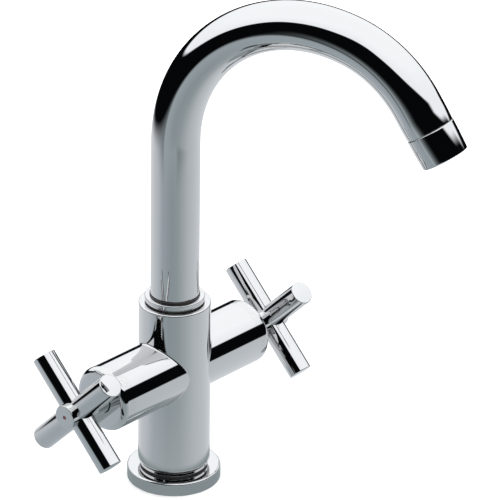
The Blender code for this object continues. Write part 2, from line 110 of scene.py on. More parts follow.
STEM_BORE, STEM_BORE_END = 4.5 * MM, 68.3 * MM
PLUG_RADIUS, PLUG_DEPTH = 1.0 * MM, 3.0 * MM
TUBE_RADIUS, TUBE_WALL = 13.5 * MM, 1.5 * MM
BEND_RADIUS, TIGHT_RADIUS = 86.8 * MM, 67.0 * MM
TIGHT_FROM = radians(103.6)
STRAIGHT_END = 14.6 * MM
HOUSING_LENGTH = 17.4 * MM
MOUTH_NARROWING, MOUTH_LENGTH = 0.22 * MM, 8 * MM
SLEEVE_NARROWING = 0.5 * MM         # the outlet sleeve narrows a little, like a barrel
COLUMN_EDGE, FINE_EDGE = 0.8 * MM, 0.15 * MM
CAP_EDGE, CAP_ROUNDING = 0.25 * MM, 3.4 * MM
ARM_EDGE, ARM_CROWN = 0.5 * MM, 0.4 * MM
GAP = 0.3 * MM              # between pieces that touch
COLLAR_GAP = 0.12 * MM      # between the column's top and the collar
CREASE = radians(32)        # faces that meet at more than this are shaded as an edge

ROUND = np.linspace(0, 2 * pi, 192, endpoint=False)
FINE = np.linspace(0, 2 * pi, 96, endpoint=False)
HOLE = np.linspace(0, 2 * pi, 48, endpoint=False)
SUPPORT = 0.03 * MM         # distance of the extra ring that keeps a flat face flat beside a rounding
WELD = 1e-6                 # points closer than this become one
LEAD = 5 * MM               # start of a profile that only gives its first rounding a direction


# ---------------------------------------------------------------- surfaces
def unit(vector):
    """Vector of the same direction and length 1."""
    return vector / np.linalg.norm(vector)


def outline(corners, closed=False, steps=8):
    """Profile through (radius, height, rounding) corners, as an array of points.

    A rounding is an arc tangent to both sides, and one more point stands just outside
    each of its ends, so that the flats beside it stay flat in the shading.
    """
    spots = np.array([corner[:2] for corner in corners], float)
    parts = []
    for k, (_, _, rounding) in enumerate(corners):
        here = spots[k]
        if not rounding:
            parts.append(here[None])
            continue
        before = unit(spots[k - 1] - here)
        after = unit(spots[(k + 1) % len(spots)] - here)
        half = acos(before @ after) / 2
        reach = rounding / tan(half)
        centre = here + unit(before + after) * rounding / sin(half)
        sweep = pi - 2 * half
        t = np.linspace(0, 1, steps + 1)[:, None]
        first, last = here + before * reach - centre, here + after * reach - centre
        arc = centre + (np.sin((1 - t) * sweep) * first + np.sin(t * sweep) * last) / sin(sweep)
        parts += [(here + before * (reach + SUPPORT))[None], arc,
                  (here + after * (reach + SUPPORT))[None]]
    points = np.vstack(parts)
    return np.vstack([points, points[:1]]) if closed else points


def turned(profile, axes, angles=ROUND):
    """Grid of a (radius, height) profile turned about an axis.

    Point = origin + radius * (cos a * side + sin a * other) + height * along.
    """
    origin, side, other, along = axes
    ring = np.cos(angles)[:, None] * side + np.sin(angles)[:, None] * other
    radius, height = profile.T
    return origin + radius[:, None, None] * ring + height[:, None, None] * along


def strip(start, profile, axes, angles):
    """Grid whose first ring is start, a ring of points, and whose others are turned."""
    return np.concatenate([start[None], turned(profile, axes, angles)])


def grid_faces(rows, columns, closed, first):
    """Quads of a grid numbered row by row from first; closed joins the last column to the first."""
    row = np.arange(rows - 1)[:, None] * columns
    column = np.arange(columns if closed else columns - 1)[None]
    ahead = (column + 1) % columns
    quads = np.stack([row + column, row + ahead, row + ahead + columns, row + column + columns], -1)
    return quads.reshape(-1, 4) + first


def plate(outer_radius, outer_angles, holes, axes, hole_angles=HOLE):
    """Flat face of a disc with round holes (x, y, radius), triangulated between its loops."""
    origin, side, other, _ = axes
    def loop(x, y, radius, angles):
        return np.stack([x + radius * np.cos(angles), y + radius * np.sin(angles)], 1)
    loops = [loop(0, 0, outer_radius, outer_angles)]
    loops += [loop(x, y, radius, hole_angles) for x, y, radius in holes]
    edges, first = [], 0
    for ring in loops:
        number = np.arange(len(ring))
        edges += (np.stack([number, np.roll(number, -1)], 1) + first).tolist()
        first += len(ring)
    flat = np.vstack(loops) * 1000
    made = delaunay_2d_cdt([Vector(point) for point in flat], edges, [], 0, 1e-6)
    points = np.array([tuple(point) for point in made[0]]) / 1000
    faces = np.array([tuple(face) for face in made[2]])
    middle = points[faces].mean(1)
    keep = np.ones(len(faces), bool)
    for x, y, radius in holes:
        keep &= np.hypot(middle[:, 0] - x, middle[:, 1] - y) > radius * 0.999
    return origin + points[:, :1] * side + points[:, 1:] * other, faces[keep]


def piece(name, grids, body, finish, stands_for, flats=()):
    """Closed mesh from grids (closed round their columns) and triangulated flats, on its body.

    stands_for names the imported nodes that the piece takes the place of; it may be empty.
    """
    points, faces, first = [], [], 0
    for grid in grids:
        rows, columns, _ = grid.shape
        faces += grid_faces(rows, columns, True, first).tolist()
        points.append(grid.reshape(-1, 3))
        first += rows * columns
    for corners, triangles in flats:
        faces += (triangles + first).tolist()
        points.append(corners)
        first += len(corners)
    mesh = bpy.data.meshes.new(name)
    mesh.from_pydata(np.vstack(points).tolist(), [], faces)
    form = bmesh.new()
    form.from_mesh(mesh)
    bmesh.ops.remove_doubles(form, verts=form.verts, dist=WELD)
    bmesh.ops.recalc_face_normals(form, faces=form.faces)
    form.to_mesh(mesh)
    form.free()
    mesh.shade_smooth()
    mesh.set_sharp_from_angle(angle=CREASE)
    mesh.materials.append(finish)
    made = bpy.data.objects.new(name, mesh)
    bpy.context.scene.collection.objects.link(made)
    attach(made, body)
    if stands_for:
        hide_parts(*stands_for)


UPRIGHT = (np.zeros(3), X, Y, Z)


def valve_axes(sign):
    """Axis of a side valve, outwards from the column; its angle 0 points up."""
    return (Z * VALVE_HEIGHT, Z, Y, sign * X)


# ---------------------------------------------------------------- column and branches
def body_half(sign, columns=240):
    """Half of the casting: column wall, fillet and branch as grids round the branch.

    Angle a runs round the branch.  A ball of the fillet's radius rolls in the corner of the
    two cylinders: its centre is at distance branch + fillet from the branch's axis and
    column + fillet from the column's.  The fillet is the arc between its two touching
    points; the column's wall runs from there to the edge of an unrolled half cylinder.
    """
    a = np.linspace(0, 2 * pi, columns, endpoint=False)
    ball = BRANCH_RADIUS + JUNCTION_FILLET
    reach = COLUMN_RADIUS + JUNCTION_FILLET
    across, up = ball * np.sin(a), ball * np.cos(a)
    centre = np.stack([np.sqrt(reach ** 2 - across ** 2), across, up], 1)
    on_column = centre * np.array([COLUMN_RADIUS / reach] * 2 + [1])
    on_branch = centre * np.array([1] + [BRANCH_RADIUS / ball] * 2)
    t = np.linspace(0, 1, 9)[:, None]
    first, last = on_column - centre, on_branch - centre
    sweep = np.arccos(np.clip((first * last).sum(1) / JUNCTION_FILLET ** 2, -1, 1))
    weight_first = np.sin((1 - t) * sweep) / np.sin(sweep)
    weight_last = np.sin(t * sweep) / np.sin(sweep)
    fillet = centre + weight_first[..., None] * first + weight_last[..., None] * last

    low = COLUMN_BOTTOM + COLUMN_EDGE - VALVE_HEIGHT
    high = COLUMN_TOP - COLUMN_EDGE - VALVE_HEIGHT
    eighth = columns // 8
    corner = [(pi / 2, high), (pi / 2, low), (-pi / 2, low), (-pi / 2, high), (pi / 2, high)]
    sides = [np.linspace(corner[k], corner[k + 1], 2 * eighth, endpoint=False) for k in range(4)]
    edge = np.roll(np.vstack(sides), eighth, axis=0)
    hole = np.stack([np.arctan2(on_column[:, 1], on_column[:, 0]), on_column[:, 2]], 1)
    s = (np.linspace(1, 0, 49) ** 1.3)[:, None, None]
    flat = hole + s * (edge - hole)
    wall = np.stack([COLUMN_RADIUS * np.cos(flat[..., 0]), COLUMN_RADIUS * np.sin(flat[..., 0]),
                     flat[..., 1]], -1)

    near = on_branch + X * SUPPORT
    s = np.linspace(0, 1, 25)[:, None, None]
    end = on_branch * np.array([0, 1, 1]) + X * (BRANCH_END - FINE_EDGE - SUPPORT)
    branch = near + s * (end - near)
    place = np.array([sign, 1, 1])
    grids = [grid * place + Z * VALVE_HEIGHT for grid in (wall, fillet, branch)]
    mouth = outline([(BRANCH_RADIUS, BRANCH_END - LEAD, 0), (BRANCH_RADIUS, BRANCH_END, FINE_EDGE),
                     (CAP_THREAD_RADIUS, BRANCH_END, 0), (CAP_THREAD_RADIUS, CAP_THREAD_START, 0),
                     (CAVITY_RADIUS, CAP_THREAD_START, 0), (CAVITY_RADIUS, SEAT, 0), (0, SEAT, 0)])[1:]
    grids.append(strip(grids[2][-1], mouth, valve_axes(sign), a))
    joined = np.concatenate([grids[1][-1:], grids[2][:1]])
    return grids + [joined]


def make_body():
    """Casting: the two halves, the socket and the neck turned about the column, and the ports.

    A turned point is (r cos a, r sin a, z) for a profile of radius r and height z.  The neck
    carries a bright band between two grooves.
    """
    grids = body_half(1) + body_half(-1)
    angles = np.linspace(-pi / 2, 3 * pi / 2, 120, endpoint=False)
    top = outline([(COLUMN_RADIUS, COLUMN_TOP - LEAD, 0), (COLUMN_RADIUS, COLUMN_TOP, COLUMN_EDGE),
                   (MOUTH_RADIUS, COLUMN_TOP, 0), (MOUTH_RADIUS, MOUTH_FLOOR, 0),
                   (SOCKET_RADIUS, MOUTH_FLOOR, 0), (SOCKET_RADIUS, SOCKET_FLOOR, 0),
                   (0, SOCKET_FLOOR, 0)])[2:]
    bottom = outline([(COLUMN_RADIUS, COLUMN_BOTTOM + LEAD, 0),
                      (COLUMN_RADIUS, COLUMN_BOTTOM, COLUMN_EDGE),
                      (NECK_RADIUS, COLUMN_BOTTOM, 0), (NECK_RADIUS, BAND_TOP, 0),
                      (BAND_RADIUS, BAND_TOP, FINE_EDGE), (BAND_RADIUS, BAND_FOOT, FINE_EDGE),
                      (NECK_RADIUS, BAND_FOOT, 0), (NECK_RADIUS, LIP_TOP, 0),
                      (SPIGOT_RADIUS, LIP_TOP, 0), (SPIGOT_RADIUS, 0, 0)])[2:]
    grids += [turned(top, UPRIGHT, angles), turned(bottom, UPRIGHT, angles)]
    for x, y, radius, depth in PORTS:
        bore = np.array([(radius, 0), (radius, depth), (0, depth)])
        grids.append(turned(bore, (X * x + Y * y, X, Y, Z), HOLE))
    underside = plate(SPIGOT_RADIUS, angles, [port[:3] for port in PORTS], UPRIGHT)
    piece("column_and_branches", grids, "body", chrome, ["body_casting"], flats=[underside])


def make_gap_shade_rings():
    """Painted shade: black rings in the gaps above and below the neck's bright band, under the collar and
    behind the caps.

    Each is a small rectangle of radius and height, with a little room all round it, turned
    about the column or a branch.  The two at the caps lie inside the caps and don't show.
    """
    room = 0.05 * MM
    shaded_gaps = [(NECK_RADIUS, SHADE_RING_RADIUS, BAND_TOP, COLUMN_BOTTOM),
             (NECK_RADIUS, SHADE_RING_RADIUS, FLANGE_HEIGHT, BAND_FOOT),
             (COLLAR_GROOVE, COLLAR_GROOVE + 0.45 * MM, COLUMN_TOP, COLLAR_FOOT)]
    rings = [outline([(inner + room, low + room, 0), (outer, low + room, 0.1 * MM),
                      (outer, high - room, 0.1 * MM), (inner + room, high - room, 0)],
                     closed=True, steps=3)
             for inner, outer, low, high in shaded_gaps]
    grids = [turned(ring, UPRIGHT, FINE) for ring in rings]
    cap_room = 0.03 * MM
    inner, start, end = CAP_THREAD_RADIUS + cap_room, BRANCH_END + cap_room, CAP_START - cap_room
    ring = outline([(inner, start, 0), (CAP_SHADE_RING_RADIUS, start, 0), (CAP_SHADE_RING_RADIUS, end, 0),
                    (inner, end, 0)], closed=True)
    grids += [turned(ring, valve_axes(sign), FINE) for sign in (-1, 1)]
    # the black rubber finish here is painted shade in the gaps, not a seal
    piece("gap_shade_rings", grids, "body", rubber, [])


def make_base():
    """Flange with a groove below, and the deck seal that lies in it, both turned about the column."""
    seal_inner, seal_outer, seal_height = 20.8 * MM, 23.7 * MM, 1.2 * MM
    ring = outline([
        (SPIGOT_RADIUS + GAP, 0, 0), (seal_inner - GAP, 0, 0), (seal_inner - GAP, seal_height + GAP, 0),
        (seal_outer + GAP, seal_height + GAP, 0), (seal_outer + GAP, 0, 0),
        (FLANGE_RADIUS, 0, 0.4 * MM), (FLANGE_RADIUS, FLANGE_HEIGHT, 1.1 * MM),
        (NECK_RADIUS + GAP, FLANGE_HEIGHT, 0.2 * MM), (NECK_RADIUS + GAP, LIP_TOP - GAP, 0),
        (SPIGOT_RADIUS + GAP, LIP_TOP - GAP, 0)], closed=True)
    piece("flange_ring", [turned(ring, UPRIGHT)], "body", chrome, ["base_flange"])
    seal = outline([(seal_inner, 0, 0.3 * MM), (seal_outer, 0, 0.3 * MM),
                    (seal_outer, seal_height, 0.2 * MM), (seal_inner, seal_height, 0.2 * MM)],
                   closed=True, steps=4)
    piece("deck_seal", [turned(seal, UPRIGHT, FINE)], "body", rubber, ["base_seal"])


def make_collar():
    """Collar nut on the column and the glide bush inside it, both turned about the column."""
    bush_inner, bush_outer, skirt = 12.3 * MM, 13.3 * MM, 102.1 * MM
    nut = outline([
        (bush_outer + GAP, skirt, 0), (MOUTH_RADIUS - GAP, skirt, 0),
        (MOUTH_RADIUS - GAP, COLUMN_TOP + COLLAR_GAP, 0), (COLLAR_GROOVE, COLUMN_TOP + COLLAR_GAP, 0),
        (COLLAR_GROOVE, COLLAR_FOOT, 0), (COLLAR_RADIUS, COLLAR_FOOT, 0.3 * MM),
        (COLLAR_RADIUS, COLLAR_TOP, 0.5 * MM), (bush_outer + GAP, COLLAR_TOP, 0.2 * MM)], closed=True)
    piece("collar_ring", [turned(nut, UPRIGHT)], "body", chrome, ["spout_collar_nut"])
    flange = 13.9 * MM
    bush = outline([
        (bush_inner, skirt + GAP, 0), (bush_outer, skirt + GAP, 0), (bush_outer, COLLAR_TOP + 0.1 * MM, 0),
        (flange, COLLAR_TOP + 0.1 * MM, 0), (flange, TUBE_BOTTOM - 0.2 * MM, 0.1 * MM),
        (bush_inner, TUBE_BOTTOM - 0.2 * MM, 0)], closed=True, steps=3)
    piece("glide_ring", [turned(bush, UPRIGHT, FINE)], "body", dark_plastic,
          ["spout_glide_bush"])


# ---------------------------------------------------------------- side valves
def make_end_cap(side, sign):
    """Cap with a round front edge and a hole for the stem, turned about the branch.

    Its outer wall starts where its thread does, so it lies over the end of the branch.
    """
    plate_start, hole = 57.0 * MM, 7.3 * MM
    cap = outline([
        (CAVITY_RADIUS, CAP_THREAD_START + GAP, 0), (CAP_THREAD_RADIUS - GAP, CAP_THREAD_START + GAP, 0),
        (CAP_THREAD_RADIUS - GAP, CAP_START, 0), (BRANCH_RADIUS, CAP_START, CAP_EDGE),
        (BRANCH_RADIUS, CAP_END, CAP_ROUNDING), (hole, CAP_END, 0.3 * MM), (hole, plate_start, 0),
        (CAVITY_RADIUS, plate_start, 0)], closed=True, steps=14)
    piece(side + "_cap", [turned(cap, valve_axes(sign))], "body", chrome,
          [side + "_end_cap"])


def make_handle(side, sign):
    """Cross of four arms with a stem through its centre, all round bars.

    Round an arm, angle a is counted from the stem's direction.  The arm starts where its
    wall leaves the stem, at sqrt(stem^2 - (arm sin a)^2) from the centre, or its
    neighbour's wall, at arm |sin a|, whichever is further out.  The stem's columns are the
    same points seen from the stem's own axis, so the seams close.  An arm's tip is crowned:
    it falls away from its middle by crown * (radius / full radius)^2.
    """
    origin = Z * VALVE_HEIGHT + sign * X * CROSS_CENTRE
    along = sign * X
    corner = asin(STEM_RADIUS / (sqrt(2) * ARM_RADIUS))
    low, high = np.linspace(0, corner, 22), np.linspace(corner, pi / 2, 16)[1:]
    quarter = np.concatenate([low, high])
    half = np.concatenate([quarter, pi - quarter[-2::-1]])
    a = np.concatenate([half, -half[-2:0:-1]])
    start = np.maximum(ARM_RADIUS * np.abs(np.sin(a)),
                       np.sqrt(np.maximum(STEM_RADIUS ** 2 - (ARM_RADIUS * np.sin(a)) ** 2, 0)))
    tip = outline([(ARM_RADIUS, ARM_REACH - 12 * MM, 0), (ARM_RADIUS, ARM_REACH - ARM_CROWN, ARM_EDGE),
                   (0, ARM_REACH - ARM_CROWN, 0)])[:-2]
    across = np.linspace(ARM_RADIUS - ARM_EDGE, 0, 14)
    crown = ARM_REACH - ARM_CROWN * (across / across[0]) ** 2
    tip = np.vstack([tip, np.stack([across, crown], 1)])
    arms = [unit(Y + Z), unit(Z - Y), -unit(Y + Z), -unit(Z - Y)]
    grids = []
    for k, arm in enumerate(arms):
        other = arms[(k + 1) % 4]
        wall = ARM_RADIUS * (np.cos(a)[:, None] * along + np.sin(a)[:, None] * other)
        root = origin + start[:, None] * arm + wall
        grids.append(strip(root, tip, (origin, along, other, arm), a))
    span = np.concatenate([-low[:0:-1], low])[:-1]
    turn = np.concatenate([k * pi / 2 + np.arcsin(ARM_RADIUS / STEM_RADIUS * np.sin(span))
                           for k in range(4)])
    rise = np.tile(ARM_RADIUS * np.cos(span), 4)
    # The stem's ring where the four arms leave it
    ring = STEM_RADIUS * (np.cos(turn)[:, None] * arms[0] + np.sin(turn)[:, None] * arms[1])
    axes = (Z * VALVE_HEIGHT, arms[0], arms[1], along)
    plug_hole, plug_floor = PLUG_RADIUS + 0.12 * MM, HUB_END - PLUG_DEPTH
    hub = outline([(STEM_RADIUS, HUB_END - 2 * MM, 0), (STEM_RADIUS, HUB_END, ARM_EDGE),
                   (plug_hole, HUB_END, 0.1 * MM), (plug_hole, plug_floor, 0), (0, plug_floor, 0)])
    root_end = outline([(STEM_RADIUS, CAP_END, 0), (STEM_RADIUS, STEM_START, 0.3 * MM),
                        (STEM_BORE, STEM_START, 0), (STEM_BORE, STEM_BORE_END, 0), (0, STEM_BORE_END, 0)])
    grids.append(strip(origin + ring + rise[:, None] * along, hub, axes, turn))
    grids.append(strip(origin + ring - rise[:, None] * along, root_end, axes, turn))
    piece(side + "_cross", grids, side + "_handle", chrome, [side + "_cross_handle"])
    finish, slot_name = (red, "hot_red") if side == "hot" else (blue, "cold_blue")
    dot = outline([(0, plug_floor + GAP, 0), (PLUG_RADIUS, plug_floor + GAP, 0),
                   (PLUG_RADIUS, HUB_END - 0.1 * MM, 0.25 * MM), (0, HUB_END - 0.05 * MM, 0)])
    piece(side + "_dot", [turned(dot, (Z * VALVE_HEIGHT, Z, Y, along), HOLE)], side + "_handle",
          finish, [side + "_index_plug"])


# ---------------------------------------------------------------- spout
SPOUT_TURN = atan2(OUTLET[0], -OUTLET[1])
BEND_TOTAL = acos(OUTLET[2])
AHEAD = np.array([sin(SPOUT_TURN), -cos(SPOUT_TURN), 0.0])
ASIDE = np.cross(Z, AHEAD)
BEND_START = cad_box[1].z - BEND_RADIUS - TUBE_RADIUS


def spout_path():
    """Centres and directions along the spout: up, round the wide bend, round the tight one."""
    wide = np.linspace(0, TIGHT_FROM, 105)
    tight = np.linspace(TIGHT_FROM, BEND_TOTAL, 43)[1:]
    turn = np.concatenate([wide, tight])
    out = np.where(turn <= TIGHT_FROM, BEND_RADIUS * (1 - np.cos(turn)),
                   BEND_RADIUS * (1 - cos(TIGHT_FROM)) + TIGHT_RADIUS * (cos(TIGHT_FROM) - np.cos(turn)))
    up = np.where(turn <= TIGHT_FROM, BEND_RADIUS * np.sin(turn),
                  BEND_RADIUS * sin(TIGHT_FROM) + TIGHT_RADIUS * (np.sin(turn) - sin(TIGHT_FROM)))
    centres = out[:, None] * AHEAD + (BEND_START + up)[:, None] * Z
    directions = np.sin(turn)[:, None] * AHEAD + np.cos(turn)[:, None] * Z
    return centres, directions


def make_spout():
    """Round pipe: rings square to the path, outside up and over, inside back again.

    Point = centre + radius * (cos a * out + sin a * aside).  Near the outlet the pipe narrows
    by narrowing * (1 - distance / length)^2.
    """
    centres, directions = spout_path()
    seam = centres[-1] + directions[-1] * STRAIGHT_END
    edge = 0.25 * MM
    quarter = np.linspace(0, pi / 2, 5)
    foot = [(Z * (TUBE_BOTTOM + edge * (1 - sin(q))), Z, TUBE_RADIUS - edge * (1 - cos(q)))
            for q in quarter[::-1]]
    foot += [(Z * (TUBE_BOTTOM + edge + SUPPORT), Z, TUBE_RADIUS)]
    rise = [(Z * height, Z, TUBE_RADIUS)
            for height in np.linspace(TUBE_BOTTOM + 4 * MM, BEND_START, 24)[:-1]]
    bend = [(centre, way, TUBE_RADIUS) for centre, way in zip(centres, directions)]
    way = directions[-1]
    rest = [(seam - way * (edge + back), way,
             TUBE_RADIUS - MOUTH_NARROWING * max(0, 1 - back / MOUTH_LENGTH) ** 2)
            for back in np.linspace(STRAIGHT_END - 1 * MM, SUPPORT, 24)]
    mouth = [(seam - way * edge * (1 - sin(q)), way, TUBE_RADIUS - MOUTH_NARROWING - edge * (1 - cos(q)))
             for q in quarter]
    inner = TUBE_RADIUS - TUBE_WALL
    lining = [(seam, way, inner)] + [(centre, aim, inner) for centre, aim, _ in bend[::-3]]
    lining += [(Z * TUBE_BOTTOM, Z, inner)]
    rings = foot + rise + bend + rest + mouth + lining
    rings.append(rings[0])
    centre, way, radius = (np.array(part) for part in zip(*rings))
    out = np.cross(ASIDE, way)
    grid = centre[:, None] + radius[:, None, None] * (
        np.cos(ROUND)[:, None] * out[:, None] + np.sin(ROUND)[:, None] * ASIDE)
    piece("swan_neck", [grid], "spout", chrome, ["spout_tube"])
    return (seam, out[len(foot + rise + bend)], ASIDE, directions[-1])


def make_aerator(axes):
    """Outlet sleeve, turned about the outlet's axis, and the flow screen: a disc with round holes.

    The sleeve's wall is at radius - narrowing * t^2, t from 0 at the seam to 1 at the end.  The
    holes stand in rows at 60 degrees to each other.
    """
    bore, thread, seam, lip, lip_start = 10.6 * MM, 11.7 * MM, 0.12 * MM, 9.6 * MM, 15.9 * MM
    wall = [(TUBE_RADIUS - SLEEVE_NARROWING * t ** 2, seam + (HOUSING_LENGTH - seam) * t, 0)
            for t in np.linspace(0, 1, 14)]
    housing = outline([
        (bore, -6 * MM, 0), (thread, -6 * MM, 0), (thread, seam, 0), (*wall[0][:2], 0.6 * MM),
        *wall[1:-1], (*wall[-1][:2], 0.8 * MM), (lip, HOUSING_LENGTH, 0.5 * MM), (lip, lip_start, 0),
        (bore, lip_start, 0)], closed=True)
    piece("outlet_sleeve", [turned(housing, axes)], "spout", chrome, ["aerator_housing"])
    start, end, radius, hole = 14.4 * MM, 15.6 * MM, 10.3 * MM, 0.62 * MM
    pitch, most = 1.75 * MM, 5
    spots = [(pitch * (k + abs(row) / 2 - most), pitch * row * sin(pi / 3))
             for row in range(-most, most + 1) for k in range(2 * most + 1 - abs(row))]
    holes = [(x, y, hole) for x, y in spots if np.hypot(x, y) < lip - hole]
    six = np.linspace(0, 2 * pi, 12, endpoint=False) + pi / 6
    origin, out, aside, way = axes
    flats = [plate(radius, FINE, holes, (origin + way * level, out, aside, way), six)
             for level in (start, end)]
    rim = np.array([(radius, start), (radius, end)])
    grids = [turned(rim, axes, FINE)]
    walls = np.array([(hole, start), (hole, end)])
    for x, y, _ in holes:
        grids.append(turned(walls, (origin + out * x + aside * y, out, aside, way), six))
    piece("flow_screen", grids, "spout", steel, ["aerator_screen"], flats=flats)


# ---------------------------------------------------------------- node helpers
def put(tree, kind, inputs=None, **settings):
    """New shader node; an input is given a value or another node's output."""
    made = tree.nodes.new("ShaderNode" + kind)
    for key, value in settings.items():
        setattr(made, key, value)
    for key, value in (inputs or {}).items():
        if isinstance(value, bpy.types.NodeSocket):
            tree.links.new(value, made.inputs[key])
        else:
            made.inputs[key].default_value = value
    return made


def maths(tree, operation, *values):
    """Result of a maths node on numbers or other nodes' outputs."""
    return put(tree, "Math", dict(enumerate(values)), operation=operation).outputs[0]


def between(tree, value, low, high, to_low=0.0, to_high=1.0):
    """Smooth step of value from low to high, given out as to_low to to_high."""
    return put(tree, "MapRange", {"Value": value, "From Min": low, "From Max": high,
                                  "To Min": to_low, "To Max": to_high},
               interpolation_type='SMOOTHSTEP').outputs["Result"]


def ramp(tree, value, stops):
    """Colour of a value between (position, colour) stops, changing evenly from one to the next."""
    made = put(tree, "ValToRGB", {"Fac": value})
    elements = made.color_ramp.elements
    elements.remove(elements[1])
    elements[0].position = stops[0][0]
    for place, _ in stops[1:]:
        elements.new(place)
    for element, (_, colour) in zip(elements, stops):
        element.color = colour
    return made.outputs["Color"]


def blend_colours(tree, factor, first, second):
    """First colour where factor is 0, second where it is 1."""
    return put(tree, "Mix", {0: factor, 6: first, 7: second}, data_type='RGBA').outputs[2]


# ---------------------------------------------------------------- effects that finishes share
def new_group(name, inputs, outputs):
    """Node group with named number inputs, given as name: value, and named outputs, as name: kind."""
    tree = bpy.data.node_groups.new(name, 'ShaderNodeTree')
    for key, value in inputs.items():
        socket = tree.interface.new_socket(key, in_out='INPUT', socket_type='NodeSocketFloat')
        socket.default_value = value
    for key, kind in outputs.items():
        tree.interface.new_socket(key, in_out='OUTPUT', socket_type=kind)
    given = tree.nodes.new("NodeGroupInput").outputs
    taken = tree.nodes.new("NodeGroupOutput").inputs
    return tree, given, taken


def noise(tree, place, scale, detail=3.0, roughness=0.5):
    """Soft cloudy value of a place, about 0.5 on average."""
    return put(tree, "TexNoise", {"Vector": place, "Scale": scale, "Detail": detail,
                                  "Roughness": roughness}).outputs["Fac"]


def make_handled():
    """Wiped, handled surface: broad haze where the cloth went and small dried drops.

    Haze is a soft noise stretched up and down; drops are the rims of a few round cells.
    """
    tree, given, taken = new_group("handled", {"Haze": 0.03, "Drops": 0.1, "Scale": 1.0},
                                   {"Roughness": 'NodeSocketFloat', "Height": 'NodeSocketFloat'})
    place = put(tree, "TexCoord").outputs["Object"]
    place = put(tree, "VectorMath", {0: place, "Scale": given["Scale"]}, operation='SCALE').outputs[0]
    wiped = put(tree, "VectorMath", {0: place, 1: (1, 1, 0.25)}, operation='MULTIPLY').outputs[0]
    haze = between(tree, noise(tree, wiped, 45.0), 0.42, 0.75)
    fine = between(tree, noise(tree, wiped, 900.0, 2.0), 0.45, 0.8)
    cells = put(tree, "TexVoronoi", {"Vector": place, "Scale": 130.0, "Randomness": 1.0})
    rim = maths(tree, 'ABSOLUTE', maths(tree, 'SUBTRACT', cells.outputs["Distance"], 0.22))
    chance = put(tree, "SeparateColor", {0: cells.outputs["Color"]}).outputs[0]
    few = maths(tree, 'GREATER_THAN', chance, 0.86)
    drop = maths(tree, 'MULTIPLY', between(tree, rim, 0.07, 0.0), few)
    soft = maths(tree, 'MULTIPLY', maths(tree, 'MULTIPLY_ADD', fine, 0.4, haze), given["Haze"])
    rough = maths(tree, 'MULTIPLY_ADD', drop, given["Drops"], soft)
    tree.links.new(rough, taken["Roughness"])
    wave = maths(tree, 'MULTIPLY_ADD', drop, 0.02, noise(tree, place, 60.0, 1.0))
    tree.links.new(wave, taken["Height"])
    return tree


def make_dusty():
    """Dust that settles on what faces up, thicker in patches and specks."""
    tree, given, taken = new_group("dusty", {"Amount": 0.1}, {"Mask": 'NodeSocketFloat'})
    place = put(tree, "TexCoord").outputs["Object"]
    facing = put(tree, "SeparateXYZ", {0: put(tree, "NewGeometry").outputs["Normal"]}).outputs[2]
    lying = between(tree, facing, 0.6, 1.0)
    patch = maths(tree, 'MULTIPLY_ADD', between(tree, noise(tree, place, 2500.0, 2.0), 0.6, 0.75), 0.7,
                  between(tree, noise(tree, place, 120.0), 0.4, 0.8))
    lying = maths(tree, 'MULTIPLY', lying, patch)
    tree.links.new(maths(tree, 'MULTIPLY', lying, given["Amount"]), taken["Mask"])
    return tree


def make_grain():
    """Fine grain of a moulded, cut or lapped surface, with a slower unevenness under it."""
    tree, given, taken = new_group("grain", {"Scale": 1500.0, "Unevenness": 0.5},
                                   {"Value": 'NodeSocketFloat', "Height": 'NodeSocketFloat'})
    place = put(tree, "TexCoord").outputs["Object"]
    fine = put(tree, "TexNoise", {"Vector": place, "Scale": given["Scale"], "Detail": 3.0}).outputs["Fac"]
    slow = noise(tree, place, 90.0)
    value = maths(tree, 'MULTIPLY_ADD', slow, given["Unevenness"], fine)
    tree.links.new(maths(tree, 'MULTIPLY', value, 0.65), taken["Value"])
    tree.links.new(fine, taken["Height"])
    return tree


def make_lathe_marks():
    """Rings left by a cutting tool round a valve's axis.

    Height is sin(2 pi (x + radius) / pitch), so there are rings along the bar and across its ends.
    """
    tree, given, taken = new_group("lathe_marks", {"Pitch": 0.25 * MM}, {"Height": 'NodeSocketFloat'})
    x, y, z = put(tree, "SeparateXYZ", {0: put(tree, "TexCoord").outputs["Object"]}).outputs
    low = maths(tree, 'SUBTRACT', z, VALVE_HEIGHT)
    radius = maths(tree, 'SQRT', maths(tree, 'MULTIPLY_ADD', y, y, maths(tree, 'MULTIPLY', low, low)))
    along = maths(tree, 'MULTIPLY', maths(tree, 'ADD', x, radius), 2 * pi)
    wave = maths(tree, 'SINE', maths(tree, 'DIVIDE', along, given["Pitch"]))
    tree.links.new(wave, taken["Height"])
    return tree


def use(tree, group, **values):
    """Places a group in a material's tree with its own values."""
    made = tree.nodes.new("ShaderNodeGroup")
    made.node_tree = group
    for key, value in values.items():
        made.inputs[key].default_value = value
    return made.outputs


handled, dusty, grain, lathe_marks = make_handled(), make_dusty(), make_grain(), make_lathe_marks()


# ---------------------------------------------------------------- finishes
def plain(name, colour, roughness, metallic=0.0, **sockets):
    """Material with one Principled shader; further sockets are given by name, _ for a space."""
    made = bpy.data.materials.new(name)
    made.use_nodes = True
    shader = made.node_tree.nodes["Principled BSDF"]
    shader.inputs["Base Color"].default_value = (*colour, 1)
    shader.inputs["Roughness"].default_value = roughness
    shader.inputs["Metallic"].default_value = metallic
    for key, value in sockets.items():
        shader.inputs[key.replace("_", " ")].default_value = value
    return made


def connect(made, colour=None, roughness=None, height=None, strength=0.1, depth=0.01 * MM):
    """Wires a material's varying colour, roughness and bump into its shader."""
    tree = made.node_tree
    shader = tree.nodes["Principled BSDF"]
    if colour is not None:
        tree.links.new(colour, shader.inputs["Base Color"])
    if roughness is not None:
        tree.links.new(roughness, shader.inputs["Roughness"])
    if height is not None:
        bump = put(tree, "Bump", {"Height": height, "Strength": strength, "Distance": depth})
        tree.links.new(bump.outputs[0], shader.inputs["Normal"])


CHROME = (0.597, 0.6, 0.603)


